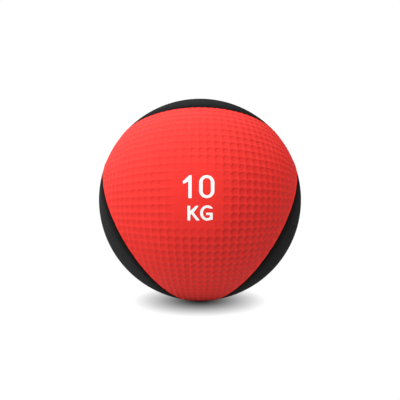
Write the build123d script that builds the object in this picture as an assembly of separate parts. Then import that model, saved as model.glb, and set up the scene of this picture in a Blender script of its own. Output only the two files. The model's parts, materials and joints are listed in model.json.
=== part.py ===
"""Thick-walled rubber medicine ball, 10 kg, with a two-colour moulded cover.

Everything is built in the panel frame: origin at the ball's centre, +Z out through the middle of
the marked front panel, +Y towards the top side panel, and the valve on -Z.
At the end each piece is turned about X into the row frame, where +Z is up, the marked panel looks
along -Y and a little upwards, and the ball lies on the plane z = -ball_d / 2.
"""
import os
from math import degrees, radians, tan

from build123d import *

# Whole ball
ball_d = 280.0  # outside diameter over the cover
lie_tilt = 12.6  # the marked panel looks this many degrees above the horizontal

# Layers of the wall, from the outside in
cover_t = 4.0  # red and black cover rubber
winding_t = 1.2  # nylon winding
ballast_t = 21.5  # mineral-filled rubber that carries the weight
bladder_t = 1.6  # butyl bladder

# Cover pattern: each black side panel is a lens between a front circle and its mirror image
circle_polar = 112.9  # from the front pole to the middle of a front circle
circle_half_angle = 56.4  # angular radius of that circle
side_azimuths = {"top": 90.0, "left": 210.0, "right": 330.0}
seam_w = 1.8  # groove between red and black
seam_depth = 1.3  # the strip in it lies this far below the surface
edge_round = 0.7  # rounding along the black panels' outer edges

# Splice of the two ballast halves
splice_w = 24.0
splice_t = 1.2

# Valve, on the back pole
patch_d = 46.0
patch_t = 1.5
pocket_d = 15.0
pocket_flange_d = 26.0
pocket_flange_t = 2.0
core_d = 8.4
core_head_d = 11.0
core_head_t = 2.4
needle_d = 2.2
collar_d = 20.0
collar_proud = 0.4
funnel_t = 1.4  # depth of the needle's lead-in, which opens at 45 degrees
spare = 3.0  # how far the collar's turned profile runs past the layer that it is cut from

# Weight marking on the front panel
mark_drop = 4.8  # the drawing's origin lies this many degrees below the panel's middle
mark_t = 0.8
mark_proud = 0.2
number_h = 28.8
number_base = 2.5
one_stroke = 4.1
nought_w = 19.2
nought_stroke = 4.5  # at the sides; the crown and foot are thinner
nought_crown = 3.6
unit_h = 18.4
unit_base = -25.5
unit_stroke = 3.6
bowl_w = 18.0  # the letter G before its right side is cut upright
bowl_overlap = 0.4  # its curves reach this far above and below the straight letter
bowl_crown = 3.1
shelf_t = 2.8

ball_r = ball_d / 2
cover_in_r = ball_r - cover_t
winding_in_r = cover_in_r - winding_t
ballast_in_r = winding_in_r - ballast_t
bladder_in_r = ballast_in_r - bladder_t
seam_angle = degrees(seam_w / ball_r)
reach = 1.3 * ball_r
lay_down = Location((0, 0, 0), (90 - lie_tilt, 0, 0))


def ball(radius):
    """Solid ball, turned so that its poles lie under the side panels, off every parting plane.

    The line that joins them runs over the back, clear of the marking and the valve.
    """
    return Rot(0, 80, 0) * Rot(0, 0, 35) * Sphere(radius)


def shell(outer_r, inner_r):
    return ball(outer_r) - ball(inner_r)


def half_space(sign):
    """Everything in front of (sign 1) or behind (sign -1) the equator."""
    return Pos(0, 0, sign * reach) * Box(4 * reach, 4 * reach, 2 * reach)


def aimed(polar, azimuth):
    """Turns +Z to the given direction in the panel frame."""
    return Rot(0, 0, azimuth) * Rot(0, polar, 0)


def sector(polar, azimuth, half_angle):
    """Solid cone from the ball's centre round one direction."""
    cone = Cone(
        0,
        reach * tan(radians(half_angle)),
        reach,
        align=(Align.CENTER, Align.CENTER, Align.MIN),
    )
    return aimed(polar, azimuth) * cone


def lens(azimuth, shrink=0.0):
    """Region of one black side panel: inside the front circle and inside its mirror image."""
    half_angle = circle_half_angle - shrink
    front = sector(circle_polar, azimuth, half_angle)
    back = sector(180 - circle_polar, azimuth, half_angle)
    return front & back


def softened(panel, radius):
    """Rounds the panel's outer edges."""
    rim = panel.edges().filter_by(lambda edge: abs((edge @ 0.5).length - ball_r) < 0.01)
    rim = rim.filter_by(lambda edge: edge.length > 1)
    return fillet(rim, radius)


def back_post(outer_d, near_r, far_r):
    """Round post on the valve axis between two distances from the ball's centre."""
    post = Cylinder(outer_d / 2, far_r - near_r, align=(Align.CENTER, Align.CENTER, Align.MAX))
    return Pos(0, 0, -near_r) * post


def back_cap(outer_r, inner_r, outer_d):
    """Round piece of a spherical layer on the valve axis."""
    return shell(outer_r, inner_r) & back_post(outer_d, 0.5 * inner_r, outer_r + 10)


# Weight marking: plain upright figures. Each outline runs anticlockwise from its lower left.
def figure_one():
    left, base, top = -14.6, number_base, number_base + number_h
    right = left + one_stroke
    return Polygon(
        (left, base),
        (right, base),
        (right, top),
        (right - 2.6, top),
        (left - 7.0, top - 7.7),
        (left - 6.2, top - 11.0),
        (left, top - 7.8),
        align=None,
    )


def figure_nought():
    outer = RectangleRounded(nought_w, number_h, 0.495 * nought_w)
    hole_w, hole_h = nought_w - 2 * nought_stroke, number_h - 2 * nought_crown
    return Pos(8.5, number_base + number_h / 2) * (
        outer - RectangleRounded(hole_w, hole_h, 0.495 * hole_w)
    )


def letter_k():
    left, base, top = -15.8, unit_base, unit_base + unit_h
    stem = left + unit_stroke
    return Polygon(
        (left, base),
        (stem, base),
        (stem, base + 6.9),
        (left + 5.1, base + 8.2),
        (left + 11.2, base),
        (left + 15.5, base),
        (left + 7.8, base + 9.9),
        (left + 14.1, top),
        (left + 10.5, top),
        (stem, base + 11.8),
        (stem, top),
        (left, top),
        align=None,
    )


def letter_g():
    half_w, half_h = bowl_w / 2, unit_h / 2 + bowl_overlap
    right, shelf_top = 0.76 * half_w, 0.3
    bowl = Ellipse(half_w, half_h) - Ellipse(half_w - unit_stroke, half_h - bowl_crown)
    mouth = Pos(0, shelf_top) * Rectangle(half_w, 5.3, align=(Align.MIN, Align.MIN))
    past_right = Pos(right, 0) * Rectangle(half_w, 3 * half_h, align=(Align.MIN, Align.CENTER))
    corner = (Align.MAX, Align.MAX)
    shelf = Pos(right, shelf_top) * Rectangle(right + 1.4, shelf_t, align=corner)
    upright = Pos(right, shelf_top) * Rectangle(unit_stroke, 0.92 * half_h, align=corner)
    figure = bowl - mouth - past_right + shelf + upright
    return Pos(9.1, unit_base + unit_h / 2 + 0.2) * figure


def raised(figure, outer_r, inner_r):
    """Figure pressed onto the ball, as a piece of a thin spherical layer."""
    prism = extrude(Pos(0, 0, 0.8 * ball_r) * figure, amount=0.4 * ball_r)
    return shell(outer_r, inner_r) & (Rot(mark_drop, 0, 0) * prism)


def write(node, solid):
    export_step(lay_down * solid, os.path.join("parts", f"{node}.step"))


os.makedirs("parts", exist_ok=True)

lenses = {side: lens(azimuth) for side, azimuth in side_azimuths.items()}
collar_hole = back_post(collar_d, 0.5 * ball_r, 1.2 * ball_r)
pocket_hole = back_post(pocket_d, 0.5 * ball_r, 1.2 * ball_r)
number = figure_one() + figure_nought()
unit = letter_k() + letter_g()

# Red cover: a front and a back panel that meet on the equator in three necks
cover_front = shell(ball_r, cover_in_r) & half_space(1)
cover_back = shell(ball_r, cover_in_r) & half_space(-1)
for region in lenses.values():
    cover_front -= region
    cover_back -= region
for figure in (*number.faces(), *unit.faces()):
    cover_front -= raised(figure, ball_r + 2, ball_r + mark_proud - mark_t)
write("cover_front", cover_front)
write("cover_back", cover_back - collar_hole)

# Black side panels, and the strip bonded into the groove round each
for side, azimuth in side_azimuths.items():
    inner_region = lens(azimuth, seam_angle)
    write(f"side_panel_{side}", softened(shell(ball_r, cover_in_r) & inner_region, edge_round))
    strip = shell(ball_r - seam_depth, cover_in_r) & lenses[side]
    write(f"seam_strip_{side}", strip - inner_region)

# Weight marking
write("mark_number", raised(number, ball_r + mark_proud, ball_r + mark_proud - mark_t))
write("mark_unit", raised(unit, ball_r + mark_proud, ball_r + mark_proud - mark_t))

# Carcass under the cover
write("winding", shell(cover_in_r, winding_in_r) - pocket_hole)
splice = shell(winding_in_r, winding_in_r - splice_t)
splice &= Box(3 * ball_r, 3 * ball_r, splice_w)
write("splice_tape", splice)
ballast = shell(winding_in_r, ballast_in_r) - splice
write("ballast_front", ballast & half_space(1))
write("ballast_back", (ballast & half_space(-1)) - pocket_hole)
write("bladder", shell(ballast_in_r, bladder_in_r) - pocket_hole)

# Valve
needle_way = back_post(needle_d, 0.5 * ball_r, 1.2 * ball_r)
core_way = back_post(core_d, 0.5 * ball_r, 1.2 * ball_r)
patch_in_r = bladder_in_r - patch_t
write("valve_patch", back_cap(bladder_in_r, patch_in_r, patch_d) - pocket_hole)
flange_far_r = (patch_in_r**2 - (pocket_flange_d / 2) ** 2) ** 0.5
core_near_r = flange_far_r - pocket_flange_t
flange = back_post(pocket_flange_d, core_near_r, ballast_in_r) & ball(patch_in_r)
post = back_post(pocket_d, core_near_r, ball_r) & ball(cover_in_r)
write("valve_pocket", flange + post - core_way)
head_far_r = cover_in_r + core_head_t
core = back_post(core_d, core_near_r, head_far_r) + back_post(core_head_d, cover_in_r, head_far_r)
write("valve_core", core - needle_way)
collar_profile = Polygon(
    (core_head_d / 2, -(cover_in_r - spare)),
    (collar_d / 2, -(cover_in_r - spare)),
    (collar_d / 2, -(ball_r + spare)),
    (needle_d / 2 + spare + funnel_t, -(ball_r + spare)),
    (needle_d / 2, -(ball_r - funnel_t)),
    (needle_d / 2, -head_far_r),
    (core_head_d / 2, -head_far_r),
    align=None,
)
collar = shell(ball_r + collar_proud, cover_in_r) & revolve(Plane.XZ * collar_profile, Axis.Z)
write("valve_collar", collar)
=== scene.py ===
"""Looks of the medicine ball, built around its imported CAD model. Lengths are in metres.

The cover is modelled in the panel frame, as the CAD is: +Z out through the middle of the marked
front panel, +Y towards the top side panel. row_rotation turns it into the row frame. Left and right
are as seen from the front.
"""
import json

import bpy
import numpy as np
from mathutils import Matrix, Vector


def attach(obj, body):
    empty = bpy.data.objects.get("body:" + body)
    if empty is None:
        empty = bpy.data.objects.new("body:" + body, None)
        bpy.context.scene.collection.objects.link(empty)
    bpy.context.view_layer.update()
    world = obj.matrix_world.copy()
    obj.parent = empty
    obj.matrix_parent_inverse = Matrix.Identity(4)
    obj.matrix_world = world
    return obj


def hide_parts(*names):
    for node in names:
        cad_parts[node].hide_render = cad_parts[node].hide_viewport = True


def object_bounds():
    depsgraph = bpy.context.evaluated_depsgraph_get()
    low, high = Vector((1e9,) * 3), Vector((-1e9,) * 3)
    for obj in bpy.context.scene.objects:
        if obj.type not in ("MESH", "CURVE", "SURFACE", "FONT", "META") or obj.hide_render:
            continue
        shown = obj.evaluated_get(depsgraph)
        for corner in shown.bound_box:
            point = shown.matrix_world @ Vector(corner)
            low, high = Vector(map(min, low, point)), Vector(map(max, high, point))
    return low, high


MM = 0.001

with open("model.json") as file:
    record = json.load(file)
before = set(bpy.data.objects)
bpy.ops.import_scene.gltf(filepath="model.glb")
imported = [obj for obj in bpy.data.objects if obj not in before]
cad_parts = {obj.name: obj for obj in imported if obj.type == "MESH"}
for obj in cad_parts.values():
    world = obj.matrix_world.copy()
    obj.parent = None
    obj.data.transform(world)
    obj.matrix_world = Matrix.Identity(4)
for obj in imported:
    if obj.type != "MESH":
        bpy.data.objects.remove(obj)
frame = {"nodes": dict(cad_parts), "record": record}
cad_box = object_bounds()

# Sizes read from the frame
ball_r = round((cad_box[1].x - cad_box[0].x) / 2, 4)
mounts = {mount["name"]: mount for mount in frame["record"]["mounts"]}
valve_axis = np.array(mounts["needle_port"]["axis"])
lie_tilt = np.arctan2(-valve_axis[2], valve_axis[1])

# Cover pattern, as in the CAD
circle_polar = np.radians(112.9)
circle_half_angle = np.radians(56.4)
side_azimuths = {"top": 90.0, "left": 210.0, "right": 330.0}
cover_t = 4.0 * MM
seam_w = 1.8 * MM
collar_r = 10.0 * MM

# Pits in the red rubber: a square grid that spreads from the middle of each panel
pit_pitch = (10.65 * MM, 10.74 * MM)
pit_first = (2.94 * MM, -0.48 * MM)  # from the panel's middle to the nearest pit
grid_spread = 0.0396
pit_r = 6.0 * MM
pit_floor = 0.58  # share of the radius that is flat floor
pit_depth = 0.85 * MM
margin = (2.5 * MM, 6.5 * MM)  # from a pit's middle to the panel's edge: no pit, full pit

# Smooth pad that carries the marking; the pits fade out towards it
pad_middle = (-2.0 * MM, -9.7 * MM)
pad_half = (20.0 * MM, 28.0 * MM)
pad_corner = 8.0 * MM
pad_blend = 34.0 * MM

# Shade painted in the pits. It is strongest low on the right: where the back panel faces
# shade_toward, and at the mirror image of that place on the front panel.
shade_toward = (0.40, 0.80, -0.45)
shade_from = 0.55  # in ball radii along shade_toward, where the shade starts to grow
shade_gain = (0.28, 1.0)  # up to shade_from, and where the ball faces shade_toward
shade_side = (-0.64, 0.77)  # a pit is darkest on this side of its middle
shade_least = 0.3  # share of the shade on the other side
shade_turn = (-0.5, 0.9)  # in pit radii along shade_side, from the least shade to the full one
shade_rim = (0.85, 1.05)  # in pit radii, where the shade ends
shade_tint = (0.57, 0.35, 0.35)
pit_polish = 0.15  # how much less rough the shaded pits are

# Edges of the panels
lip_h = 0.42 * MM
lip_w = 1.5 * MM  # from the lip's crest to its foot
lip_at = 1.7 * MM  # from the edge to the lip's crest
edge_round = 0.8 * MM
wall_drops = (1.2 * MM, 2.6 * MM, cover_t)  # rings down the red panels' edges
side_edge_round = 0.8 * MM
side_sunk = 0.15 * MM  # how far the black panels lie below the CAD's
side_tip = 0.9985  # share of a lens's length that is modelled, short of its sharp tips

# Painted light and shade on the black rubber: each side panel's middle is painted as light as its
# share, the left one lightest, and painted shade darkens it towards its edges
painted_light_reach = 18.0 * MM
painted_light_share = {"top": 0.45, "left": 1.0, "right": 0.6}

# Colours
red_deep = (0.83, 0.024, 0.0175)
red_bright = (0.87, 0.027, 0.0195)
black_tone = (0.0195, 0.0195, 0.0199)
# painted shade at the black panels' edges
black_painted_shade = (0.0075, 0.0075, 0.0075)
# seam strips: dark rubber, painted far darker than the black panels as painted shade in the groove
seam_tone_and_shade = (0.0015, 0.0015, 0.0015)
white_yellowed = (0.95, 0.945, 0.935)
white_clean = (0.985, 0.985, 0.98)
bloom_lift = 1.35  # how much lighter the patches on black rubber are
noise_span = (0.3, 0.7)  # nearly all of a noise's values lie in here

# Mesh density
lens_spokes = 151
lens_evenness = 0.65  # 1 spaces the spokes evenly, 0 crowds them at the tips
neck_spokes = 26
cover_rings = 150
border_band = 5.0 * MM  # finer rings run along the border in this width
border_rings = 19
border_crowding = 0.7  # below 1 crowds those rings at the border
inside_rings = 13
side_spokes = 200
side_rings = 110
under_step = 8  # the underside of a side panel keeps one ring in this many

# Camera and light
camera_far = 10.0  # in ball radii
camera_up = 8.0  # degrees
ball_share = 0.506  # of the picture's width
camera_shift = -0.0007  # of the picture's width too
floor_half = 60.0  # in ball radii
paper = 1.02  # brightness of the background and the floor, just past white
floor_gain = 2.4  # how fast the floor's painted shadow gives way to white
floor_bounce = 0.72  # share of the floor's brightness that lights the ball
shade_forward = 0.085  # in ball radii, from the foot to the middle of the painted shadow
sky_toward = (-0.43, -0.09, 0.90)
sky_low = 0.07  # brightness at right angles to sky_toward, and beyond
sky_high = 2.57  # brightness along sky_toward


def rotation_x(angle):
    c, s = np.cos(angle), np.sin(angle)
    return np.array([[1, 0, 0], [0, c, -s], [0, s, c]])


row_rotation = rotation_x(np.pi / 2 - lie_tilt)


def direction(polar, azimuth):
    """Unit vectors in the panel frame."""
    polar, azimuth = np.broadcast_arrays(polar, azimuth)
    flat = np.sin(polar)
    return np.stack([flat * np.cos(azimuth), flat * np.sin(azimuth), np.cos(polar)], axis=-1)


def smooth_step(low, high, value):
    t = np.clip((value - low) / (high - low), 0, 1)
    return t * t * (3 - 2 * t)


def circle_polar_at(offset, half_angle):
    """Polar angle where the front circle meets the meridian this far in azimuth from its middle."""
    a = np.cos(circle_polar)
    b = np.sin(circle_polar) * np.cos(offset)
    return np.arctan2(b, a) - np.arccos(np.clip(np.cos(half_angle) / np.hypot(a, b), -1, 1))


def tip_offset(half_angle):
    """Azimuth from a lens's middle to its tip on the equator."""
    return np.arccos(np.cos(half_angle) / np.sin(circle_polar))


def from_front_circles(points, half_angle):
    """Distance over the surface to the nearest front circle, positive outside the circles."""
    angles = [
        np.arccos(np.clip(points @ direction(circle_polar, np.radians(azimuth)), -1, 1))
        for azimuth in side_azimuths.values()
    ]
    return ball_r * (np.minimum.reduce(angles) - half_angle)


def from_equator(points):
    return ball_r * np.arcsin(np.clip(points[..., 2], -1, 1))


def rounded_drop(room, radius):
    """How far a rounded edge lies below the surface at this distance from the edge."""
    inward = np.clip(1 - room / radius, 0, 1)
    return radius * (1 - np.sqrt(1 - inward**2))


def loft(name, loops, ends=None):
    """Closed mesh through a stack of closed loops.

    With ends, each end fans to one of those two points; without, the last loop joins the first.
    """
    count, around = loops.shape[:2]
    points = loops.reshape(-1, 3)
    i = np.arange(around)
    j = (i + 1) % around
    faces = []
    for k in range(count - 1 if ends else count):
        a, b = k * around, (k + 1) % count * around
        faces += np.stack([a + i, b + i, b + j, a + j], axis=1).tolist()
    if ends:
        first, last = count * around, count * around + 1
        top = (count - 1) * around
        points = np.concatenate([points, ends])
        faces += np.stack([np.full(around, first), i, j], axis=1).tolist()
        faces += np.stack([np.full(around, last), top + j, top + i], axis=1).tolist()
    mesh = bpy.data.meshes.new(name)
    mesh.from_pydata((points @ row_rotation.T).tolist(), [], faces)
    mesh.polygons.foreach_set("use_smooth", np.ones(len(mesh.polygons), bool))
    mesh.update()
    piece = bpy.data.objects.new(name, mesh)
    bpy.context.scene.collection.objects.link(piece)
    return piece


def carry(piece, name, values):
    """Gives a piece's vertices the values that its material reads by this name."""
    attribute = piece.data.attributes.new(name, "FLOAT", "POINT")
    attribute.data.foreach_set("value", values)


# Red cover panels
def spoke_azimuths():
    """Azimuths of the cover's spokes: dense near the lens tips, with one on each tip."""
    tip = tip_offset(circle_half_angle)
    neck = np.pi / 3 - tip
    crowded = np.sin(np.linspace(-np.pi / 2, np.pi / 2, lens_spokes))
    even = np.linspace(-1, 1, lens_spokes)
    over_lens = crowded * (1 - lens_evenness) + even * lens_evenness
    over_neck = np.linspace(-1, 1, neck_spokes)
    found = []
    for azimuth in sorted(side_azimuths.values()):
        middle = np.radians(azimuth)
        found += (middle + tip * over_lens).tolist()
        found += (middle + np.pi / 3 + neck * over_neck[1:-1]).tolist()
    return np.array(found)


def border_polar(azimuths):
    """Polar angle of the cover panel's edge: a front circle, or the equator in a neck."""
    tip = tip_offset(circle_half_angle)
    polar = np.full(azimuths.shape, np.pi / 2)
    for azimuth in side_azimuths.values():
        offset = (azimuths - np.radians(azimuth) + np.pi) % (2 * np.pi) - np.pi
        near = np.abs(offset) < tip
        polar[near] = circle_polar_at(offset[near], circle_half_angle)
    return polar


def grid_place(points):
    """Flat grid coordinates, in metres, of unit vectors in the panel frame."""
    polar = np.arccos(np.clip(points[..., 2], -1, 1))
    azimuth = np.arctan2(points[..., 1], points[..., 0])
    reach = ball_r * polar * (1 + grid_spread * polar**2)
    return reach * np.cos(azimuth), reach * np.sin(azimuth)


def grid_direction(u, v):
    """The inverse of grid_place, close enough for a pit's centre."""
    reach = np.hypot(u, v) / ball_r
    polar = reach / (1 + grid_spread * reach**2)
    return direction(polar, np.arctan2(v, u))


def from_pad(u, v):
    """Distance outside the smooth pad that carries the marking, negative inside."""
    du = np.abs(u - pad_middle[0]) - pad_half[0] + pad_corner
    dv = np.abs(v - pad_middle[1]) - pad_half[1] + pad_corner
    outside = np.hypot(np.maximum(du, 0), np.maximum(dv, 0))
    return outside + np.minimum(np.maximum(du, dv), 0) - pad_corner


def pits(points, front):
    """Share of the full pit depth and of a pit's full painted shade at each point, each 0 on the
    land.
    """
    u, v = grid_place(points)
    centre_u, centre_v = (
        first + pitch * np.round((flat - first) / pitch)
        for flat, first, pitch in zip((u, v), pit_first, pit_pitch)
    )
    across = np.hypot(u - centre_u, v - centre_v) / pit_r
    side = ((u - centre_u) * shade_side[0] + (v - centre_v) * shade_side[1]) / pit_r
    bowl = 1 - smooth_step(pit_floor, 1.0, across)
    shade = shade_least + (1 - shade_least) * smooth_step(*shade_turn, side)
    shade = shade * (1 - smooth_step(*shade_rim, across))
    centres = grid_direction(centre_u, centre_v)
    room = np.minimum(from_front_circles(centres, circle_half_angle), from_equator(centres))
    share = smooth_step(*margin, room)
    if front:
        share = share * smooth_step(0, pad_blend, from_pad(centre_u, centre_v))
    else:
        from_pole = ball_r * np.arccos(np.clip(centres[..., 2], -1, 1))
        share = share * smooth_step(collar_r, collar_r + pit_r, from_pole)
    return bowl * share, shade * share


def cover_height(points, front):
    """Height of the red rubber over the plain ball, and the share of painted shade in the pits."""
    depth, shade = pits(points, front)
    room = from_front_circles(points, circle_half_angle)
    lip = lip_h * 0.5 * (1 + np.cos(np.pi * np.clip((room - lip_at) / lip_w, -1, 1)))
    to_edge = np.minimum(room, np.maximum(from_equator(points), 0))
    return lip - pit_depth * depth - rounded_drop(to_edge, edge_round), shade


def cover_panel(name, sign):
    """One red panel as a closed shell.

    Sign -1 mirrors the front panel to the back, and gives it the hole for the valve's collar.
    """
    front = sign > 0
    hole = 0.0 if front else collar_r / ball_r
    skip = 1 if front else 0  # the front panel's rings stop short of the pole
    azimuths = spoke_azimuths()
    border = border_polar(azimuths)
    band = border_band / ball_r
    even_rings = np.linspace(0, 1, cover_rings)[skip:]
    fine_rings = band * (1 - np.linspace(0, 1, border_rings)[1:] ** border_crowding)
    polar = [hole + (border - band - hole) * t for t in even_rings]
    polar += [border - w for w in fine_rings]
    ways = direction(np.array(polar), azimuths[None, :])
    height, shade = cover_height(ways, front)
    outer = ways * (ball_r + height)[..., None]
    edge = direction(border, azimuths)
    wall = [edge * (ball_r - drop) for drop in wall_drops]
    inside = [
        direction(hole + (border - hole) * t, azimuths) * (ball_r - cover_t)
        for t in np.linspace(1, 0, inside_rings)[1 : inside_rings - skip]
    ]
    loops = np.concatenate([outer, np.array(wall), np.array(inside)]) * (1, 1, sign)
    if front:
        pole_height, pole_shade = cover_height(np.array([[0.0, 0.0, 1.0]]), front)
        ends = [(0, 0, ball_r + pole_height[0]), (0, 0, ball_r - cover_t)]
        piece = loft(name, loops, ends)
    else:
        loops, shade = loops[:, ::-1], shade[:, ::-1]
        piece = loft(name, loops)
    # The pit value carries the share of painted shade in each pit.
    shares = np.zeros(len(piece.data.vertices))
    shares[: shade.size] = shade.reshape(-1)
    if front:
        shares[-2] = pole_shade[0]
    carry(piece, "pit", shares)
    return piece


# Black side panels
def side_panel(name, azimuth, most_painted_light):
    """One black lens as a closed shell with rounded outer edges."""
    half_angle = circle_half_angle - seam_w / ball_r
    along_lens = np.sin(np.linspace(-np.pi / 2, np.pi / 2, side_spokes))
    offsets = tip_offset(half_angle) * side_tip * along_lens
    front = circle_polar_at(offsets, half_angle)
    share = (1 - np.cos(np.linspace(0, np.pi, side_rings))) / 2
    polar = front[:, None] + (np.pi - 2 * front)[:, None] * share[None, :]
    middle = np.radians(azimuth)
    ways = direction(polar, middle + offsets[:, None])
    angles = [
        np.arccos(np.clip(ways @ direction(circle, middle), -1, 1))
        for circle in (circle_polar, np.pi - circle_polar)
    ]
    room = ball_r * (half_angle - np.maximum(*angles))
    outer = ways * (ball_r - side_sunk - rounded_drop(room, side_edge_round))[..., None]
    under = ways[:, ::-under_step] * (ball_r - cover_t)
    loops = np.concatenate([under, outer], axis=1)[::-1]
    piece = loft(name, loops, [loops[0].mean(0), loops[-1].mean(0)])
    # Painted light and shade for the material: 0, the darkest painted shade, at the lens's edges,
    # rising inwards to the panel's own share of painted light; 0 on the underside.
    painted_light = np.zeros(loops.shape[:2])
    painted_light[:, under.shape[1] :] = most_painted_light * smooth_step(0, painted_light_reach, room[::-1])
    carry(piece, "painted_light", np.append(painted_light.reshape(-1), [0.0, 0.0]))
    return piece


# Building blocks of the materials
def new_material(name, base, roughness, specular=0.5):
    material = bpy.data.materials.new(name)
    material.use_nodes = True
    shader = material.node_tree.nodes["Principled BSDF"]
    shader.inputs["Base Color"].default_value = (*base, 1)
    shader.inputs["Roughness"].default_value = roughness
    shader.inputs["Specular IOR Level"].default_value = specular
    return material, material.node_tree.nodes, material.node_tree.links, shader


def object_place(nodes):
    return nodes.new("ShaderNodeTexCoord").outputs["Object"]


def carried(nodes, name):
    """The value that carry gave the mesh by this name."""
    node = nodes.new("ShaderNodeAttribute")
    node.attribute_name = name
    return node.outputs["Fac"]


def noise(nodes, links, scale, detail=3.0, rough=0.6):
    """Noise in the object's own metres."""
    texture = nodes.new("ShaderNodeTexNoise")
    texture.inputs["Scale"].default_value = scale
    texture.inputs["Detail"].default_value = detail
    texture.inputs["Roughness"].default_value = rough
    links.new(object_place(nodes), texture.inputs["Vector"])
    return texture.outputs["Fac"]


def arithmetic(nodes, links, operation, *values):
    """One sum; each value is a float or another node's output."""
    node = nodes.new("ShaderNodeMath")
    node.operation = operation
    for socket, value in zip(node.inputs, values):
        if isinstance(value, float):
            socket.default_value = value
        else:
            links.new(value, socket)
    return node.outputs[0]


def along(nodes, links, vector, way):
    """How far a vector reaches in a fixed direction."""
    node = nodes.new("ShaderNodeVectorMath")
    node.operation = "DOT_PRODUCT"
    node.inputs[1].default_value = way
    links.new(vector, node.inputs[0])
    return node.outputs["Value"]


def ranged(nodes, links, value, source, target):
    """Maps one range of values to another."""
    node = nodes.new("ShaderNodeMapRange")
    names = ("From Min", "From Max", "To Min", "To Max")
    for name, number in zip(names, (*source, *target)):
        node.inputs[name].default_value = number
    links.new(value, node.inputs["Value"])
    return node.outputs["Result"]


def spread(nodes, links, value, low, high):
    """Maps a noise value to a range."""
    return ranged(nodes, links, value, noise_span, (low, high))


def two_tone(nodes, links, value, dark, light, blend="MIX"):
    """Mixes two colours, each a tuple or another node's output."""
    node = nodes.new("ShaderNodeMix")
    node.data_type = "RGBA"
    node.blend_type = blend
    for socket, tone in (("A", dark), ("B", light)):
        if isinstance(tone, tuple):
            node.inputs[socket].default_value = (*tone, 1)
        else:
            links.new(tone, node.inputs[socket])
    links.new(value, node.inputs["Factor"])
    return node.outputs["Result"]


def bump(nodes, links, shader, value, strength, distance):
    node = nodes.new("ShaderNodeBump")
    node.inputs["Strength"].default_value = strength
    node.inputs["Distance"].default_value = distance
    links.new(value, node.inputs["Height"])
    links.new(node.outputs["Normal"], shader.inputs["Normal"])


# Materials
def pit_shade_gain(nodes, links):
    """How strongly the pits' painted shade shows here, the same in front and behind."""
    place = nodes.new("ShaderNodeSeparateXYZ")
    links.new(object_place(nodes), place.inputs["Vector"])
    mirrored = nodes.new("ShaderNodeCombineXYZ")
    outward = arithmetic(nodes, links, "ABSOLUTE", place.outputs["Y"])
    for axis, value in (("X", place.outputs["X"]), ("Y", outward), ("Z", place.outputs["Z"])):
        links.new(value, mirrored.inputs[axis])
    toward = along(nodes, links, mirrored.outputs["Vector"], shade_toward)
    return ranged(nodes, links, toward, (shade_from * ball_r, ball_r), shade_gain)


def red_rubber():
    """Moulded rubber: a fine grain, a slow drift of tone, and painted shade in the pits, strongest
    low on the right.
    """
    material, nodes, links, shader = new_material("red_rubber", (0.86, 0.025, 0.018), 0.67, 0.25)
    drift = spread(nodes, links, noise(nodes, links, 18, 2), 0, 1)
    tone = two_tone(nodes, links, drift, red_deep, red_bright)
    share = carried(nodes, "pit")
    # Painted shade: the pits are multiplied towards shade_tint, most where the gain is high.
    shaded = arithmetic(nodes, links, "MULTIPLY", share, pit_shade_gain(nodes, links))
    tone = two_tone(nodes, links, shaded, tone, shade_tint, blend="MULTIPLY")
    links.new(tone, shader.inputs["Base Color"])
    grain = spread(nodes, links, noise(nodes, links, 260, 3), 0.66, 0.76)
    rough = arithmetic(nodes, links, "MULTIPLY_ADD", share, -pit_polish, grain)
    links.new(rough, shader.inputs["Roughness"])
    bump(nodes, links, shader, noise(nodes, links, 1400, 4, 0.65), 0.25, 0.15 * MM)
    return material


def plain_rubber(name, base, rough, grain=900, specular=0.25, painted_edge_shade=None):
    """Smooth moulded rubber with a faint grain and slightly lighter patches.

    Rough is a range of roughness. With an edge colour, the painted light and shade that the mesh
    carries mix from that colour, where the value is 0, to the rubber's own.
    """
    material, nodes, links, shader = new_material(name, base, rough[1], specular)
    patches = spread(nodes, links, noise(nodes, links, 30, 4), 0, 1)
    light = tuple(bloom_lift * part for part in base)
    tone = two_tone(nodes, links, patches, base, light)
    if painted_edge_shade is not None:
        # Painted light and shade: darker towards the panels' edges, lighter on some panels than
        # others.
        tone = two_tone(nodes, links, carried(nodes, "painted_light"), painted_edge_shade, tone)
    links.new(tone, shader.inputs["Base Color"])
    patchy_rough = spread(nodes, links, noise(nodes, links, 120, 3), *rough)
    links.new(patchy_rough, shader.inputs["Roughness"])
    bump(nodes, links, shader, noise(nodes, links, grain, 4, 0.6), 0.2, 0.12 * MM)
    return material


def white_rubber():
    """White rubber of the marking: nearly clean, with a slight yellowing."""
    material, nodes, links, shader = new_material("white_marking", (0.96, 0.955, 0.95), 0.5, 0.3)
    tint = spread(nodes, links, noise(nodes, links, 60, 3), 0, 1)
    tone = two_tone(nodes, links, tint, white_yellowed, white_clean)
    links.new(tone, shader.inputs["Base Color"])
    rough = spread(nodes, links, noise(nodes, links, 300, 2), 0.42, 0.58)
    links.new(rough, shader.inputs["Roughness"])
    bump(nodes, links, shader, noise(nodes, links, 1600, 3), 0.15, 0.08 * MM)
    return material


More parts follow.
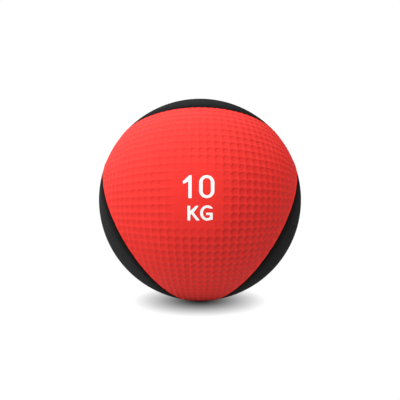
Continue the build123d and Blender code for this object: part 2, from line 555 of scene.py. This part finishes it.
def cord_fabric(name, dark, light, pitch):
    """Crossed cords laid in rubber cement."""
    material, nodes, links, shader = new_material(name, light, 0.7, 0.3)
    place = object_place(nodes)
    cords = []
    for turn in (0.6, -0.9):
        mapping = nodes.new("ShaderNodeMapping")
        mapping.inputs["Rotation"].default_value = (turn, 0.4, turn)
        wave = nodes.new("ShaderNodeTexWave")
        wave.inputs["Scale"].default_value = 0.3 / pitch
        wave.inputs["Distortion"].default_value = 0.6
        links.new(place, mapping.inputs["Vector"])
        links.new(mapping.outputs["Vector"], wave.inputs["Vector"])
        cords.append(wave.outputs["Fac"])
    over = arithmetic(nodes, links, "MAXIMUM", *cords)
    links.new(two_tone(nodes, links, over, dark, light), shader.inputs["Base Color"])
    rough = spread(nodes, links, noise(nodes, links, 200, 3), 0.6, 0.8)
    links.new(rough, shader.inputs["Roughness"])
    bump(nodes, links, shader, over, 0.6, 0.3 * MM)
    return material


def dress(node, material):
    """Gives a CAD node its material."""
    mesh = frame["nodes"][node].data
    mesh.materials.clear()
    mesh.materials.append(material)
    mesh.polygons.foreach_set("material_index", np.zeros(len(mesh.polygons), np.int32))


# The ball
def build_cover():
    red = red_rubber()
    for node, sign in (("cover_front", 1), ("cover_back", -1)):
        piece = cover_panel(node + "_skin", sign)
        piece.data.materials.append(red)
        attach(piece, "root")
        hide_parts(node)


def build_side_panels():
    # The black rubber carries painted light and shade: each side panel is painted lighter or darker
    # by its own share, and darker at its edges.
    black = plain_rubber(
        "black_rubber", black_tone, (0.65, 0.8), specular=0.02, painted_edge_shade=black_painted_shade
    )
    for side, azimuth in side_azimuths.items():
        piece = side_panel(f"side_panel_{side}_skin", azimuth, painted_light_share[side])
        piece.data.materials.append(black)
        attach(piece, "root")
        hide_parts(f"side_panel_{side}")


def dress_cad_nodes():
    # The seam strips are painted near black with no shine: painted shade in the groove between the
    # panels.
    strip = plain_rubber("seam_rubber", seam_tone_and_shade, (0.8, 0.9), specular=0.0)
    valve = plain_rubber("valve_rubber", (0.012, 0.012, 0.012), (0.4, 0.5))
    ballast = plain_rubber("ballast_rubber", (0.05, 0.05, 0.052), (0.7, 0.9), grain=500)
    bladder = plain_rubber("bladder_rubber", (0.02, 0.02, 0.022), (0.35, 0.45))
    core = plain_rubber("core_rubber", (0.22, 0.2, 0.17), (0.3, 0.4))
    winding = cord_fabric("winding_cord", (0.35, 0.33, 0.27), (0.72, 0.7, 0.62), 1.2 * MM)
    tape = cord_fabric("tape_cloth", (0.05, 0.05, 0.055), (0.12, 0.12, 0.13), 0.8 * MM)
    white = white_rubber()
    looks = {
        strip: ("seam_strip_top", "seam_strip_left", "seam_strip_right"),
        white: ("mark_number", "mark_unit"),
        winding: ("winding",),
        tape: ("splice_tape",),
        ballast: ("ballast_front", "ballast_back"),
        bladder: ("bladder",),
        valve: ("valve_patch", "valve_pocket", "valve_collar"),
        core: ("valve_core",),
    }
    for material, nodes in looks.items():
        for node in nodes:
            dress(node, material)


# Stage
def floor():
    """White paper that glows evenly, with a painted shadow round the ball's foot.

    At r ball radii from its foot a ball hides (1 + r * r) ** -1.5 of an even sky, and the painted
    shadow follows that share. Its middle lies a little in front of the foot.
    """
    side, z = floor_half * ball_r, -ball_r
    corners = [(-side, -side, z), (side, -side, z), (side, side, z), (-side, side, z)]
    mesh = bpy.data.meshes.new("floor")
    mesh.from_pydata(corners, [], [(0, 1, 2, 3)])
    piece = bpy.data.objects.new("floor", mesh)
    bpy.context.scene.collection.objects.link(piece)
    material = bpy.data.materials.new("floor_paper")
    material.use_nodes = True
    nodes, links = material.node_tree.nodes, material.node_tree.links
    nodes.clear()
    flat = nodes.new("ShaderNodeMapping")
    flat.inputs["Location"].default_value = (0, shade_forward, 0)
    flat.inputs["Scale"].default_value = (1 / ball_r, 1 / ball_r, 0)
    links.new(object_place(nodes), flat.inputs["Vector"])
    away = nodes.new("ShaderNodeVectorMath")
    away.operation = "LENGTH"
    links.new(flat.outputs["Vector"], away.inputs[0])
    r = away.outputs["Value"]
    # Painted shadow: the glow is dimmed where the ball would hide an even sky.
    hidden = arithmetic(nodes, links, "MULTIPLY_ADD", r, r, 1.0)
    hidden = arithmetic(nodes, links, "POWER", hidden, -1.5)
    bright = arithmetic(nodes, links, "MULTIPLY_ADD", hidden, -floor_gain, floor_gain)
    bright = arithmetic(nodes, links, "MINIMUM", bright, paper)
    seen = nodes.new("ShaderNodeLightPath").outputs["Is Camera Ray"]
    share = arithmetic(nodes, links, "MULTIPLY_ADD", seen, 1 - floor_bounce, floor_bounce)
    strength = arithmetic(nodes, links, "MULTIPLY", bright, share)
    glow = nodes.new("ShaderNodeEmission")
    out = nodes.new("ShaderNodeOutputMaterial")
    links.new(strength, glow.inputs["Strength"])
    links.new(glow.outputs["Emission"], out.inputs["Surface"])
    mesh.materials.append(material)


def camera():
    data = bpy.data.cameras.new("camera")
    piece = bpy.data.objects.new("camera", data)
    bpy.context.scene.collection.objects.link(piece)
    up = np.radians(camera_up)
    away = Vector((0, -np.cos(up), np.sin(up)))
    piece.location = away * camera_far * ball_r
    piece.rotation_mode = "QUATERNION"
    piece.rotation_quaternion = (-away).to_track_quat("-Z", "Y")
    ball_half = np.tan(np.arcsin(1 / camera_far))
    data.sensor_width = 36
    data.lens = data.sensor_width / 2 * ball_share / ball_half
    data.shift_y = camera_shift
    bpy.context.scene.camera = piece


def sky():
    """White to the camera; to the ball, a soft light that is strongest from above left."""
    world = bpy.data.worlds.new("sky")
    bpy.context.scene.world = world
    world.use_nodes = True
    nodes, links = world.node_tree.nodes, world.node_tree.links
    nodes.clear()
    place = nodes.new("ShaderNodeTexCoord").outputs["Generated"]
    toward = along(nodes, links, place, sky_toward)
    level = ranged(nodes, links, toward, (0, 1), (sky_low, sky_high))
    light = nodes.new("ShaderNodeBackground")
    links.new(level, light.inputs["Strength"])
    seen = nodes.new("ShaderNodeBackground")
    seen.inputs["Strength"].default_value = paper
    for node in (light, seen):
        node.inputs["Color"].default_value = (1, 1, 1, 1)
    path = nodes.new("ShaderNodeLightPath")
    mix = nodes.new("ShaderNodeMixShader")
    out = nodes.new("ShaderNodeOutputWorld")
    links.new(path.outputs["Is Camera Ray"], mix.inputs["Fac"])
    links.new(light.outputs[0], mix.inputs[1])
    links.new(seen.outputs[0], mix.inputs[2])
    links.new(mix.outputs[0], out.inputs["Surface"])


camera()
build_cover()
build_side_panels()
dress_cad_nodes()
floor()
sky()
bpy.context.scene.view_settings.view_transform = "Standard"
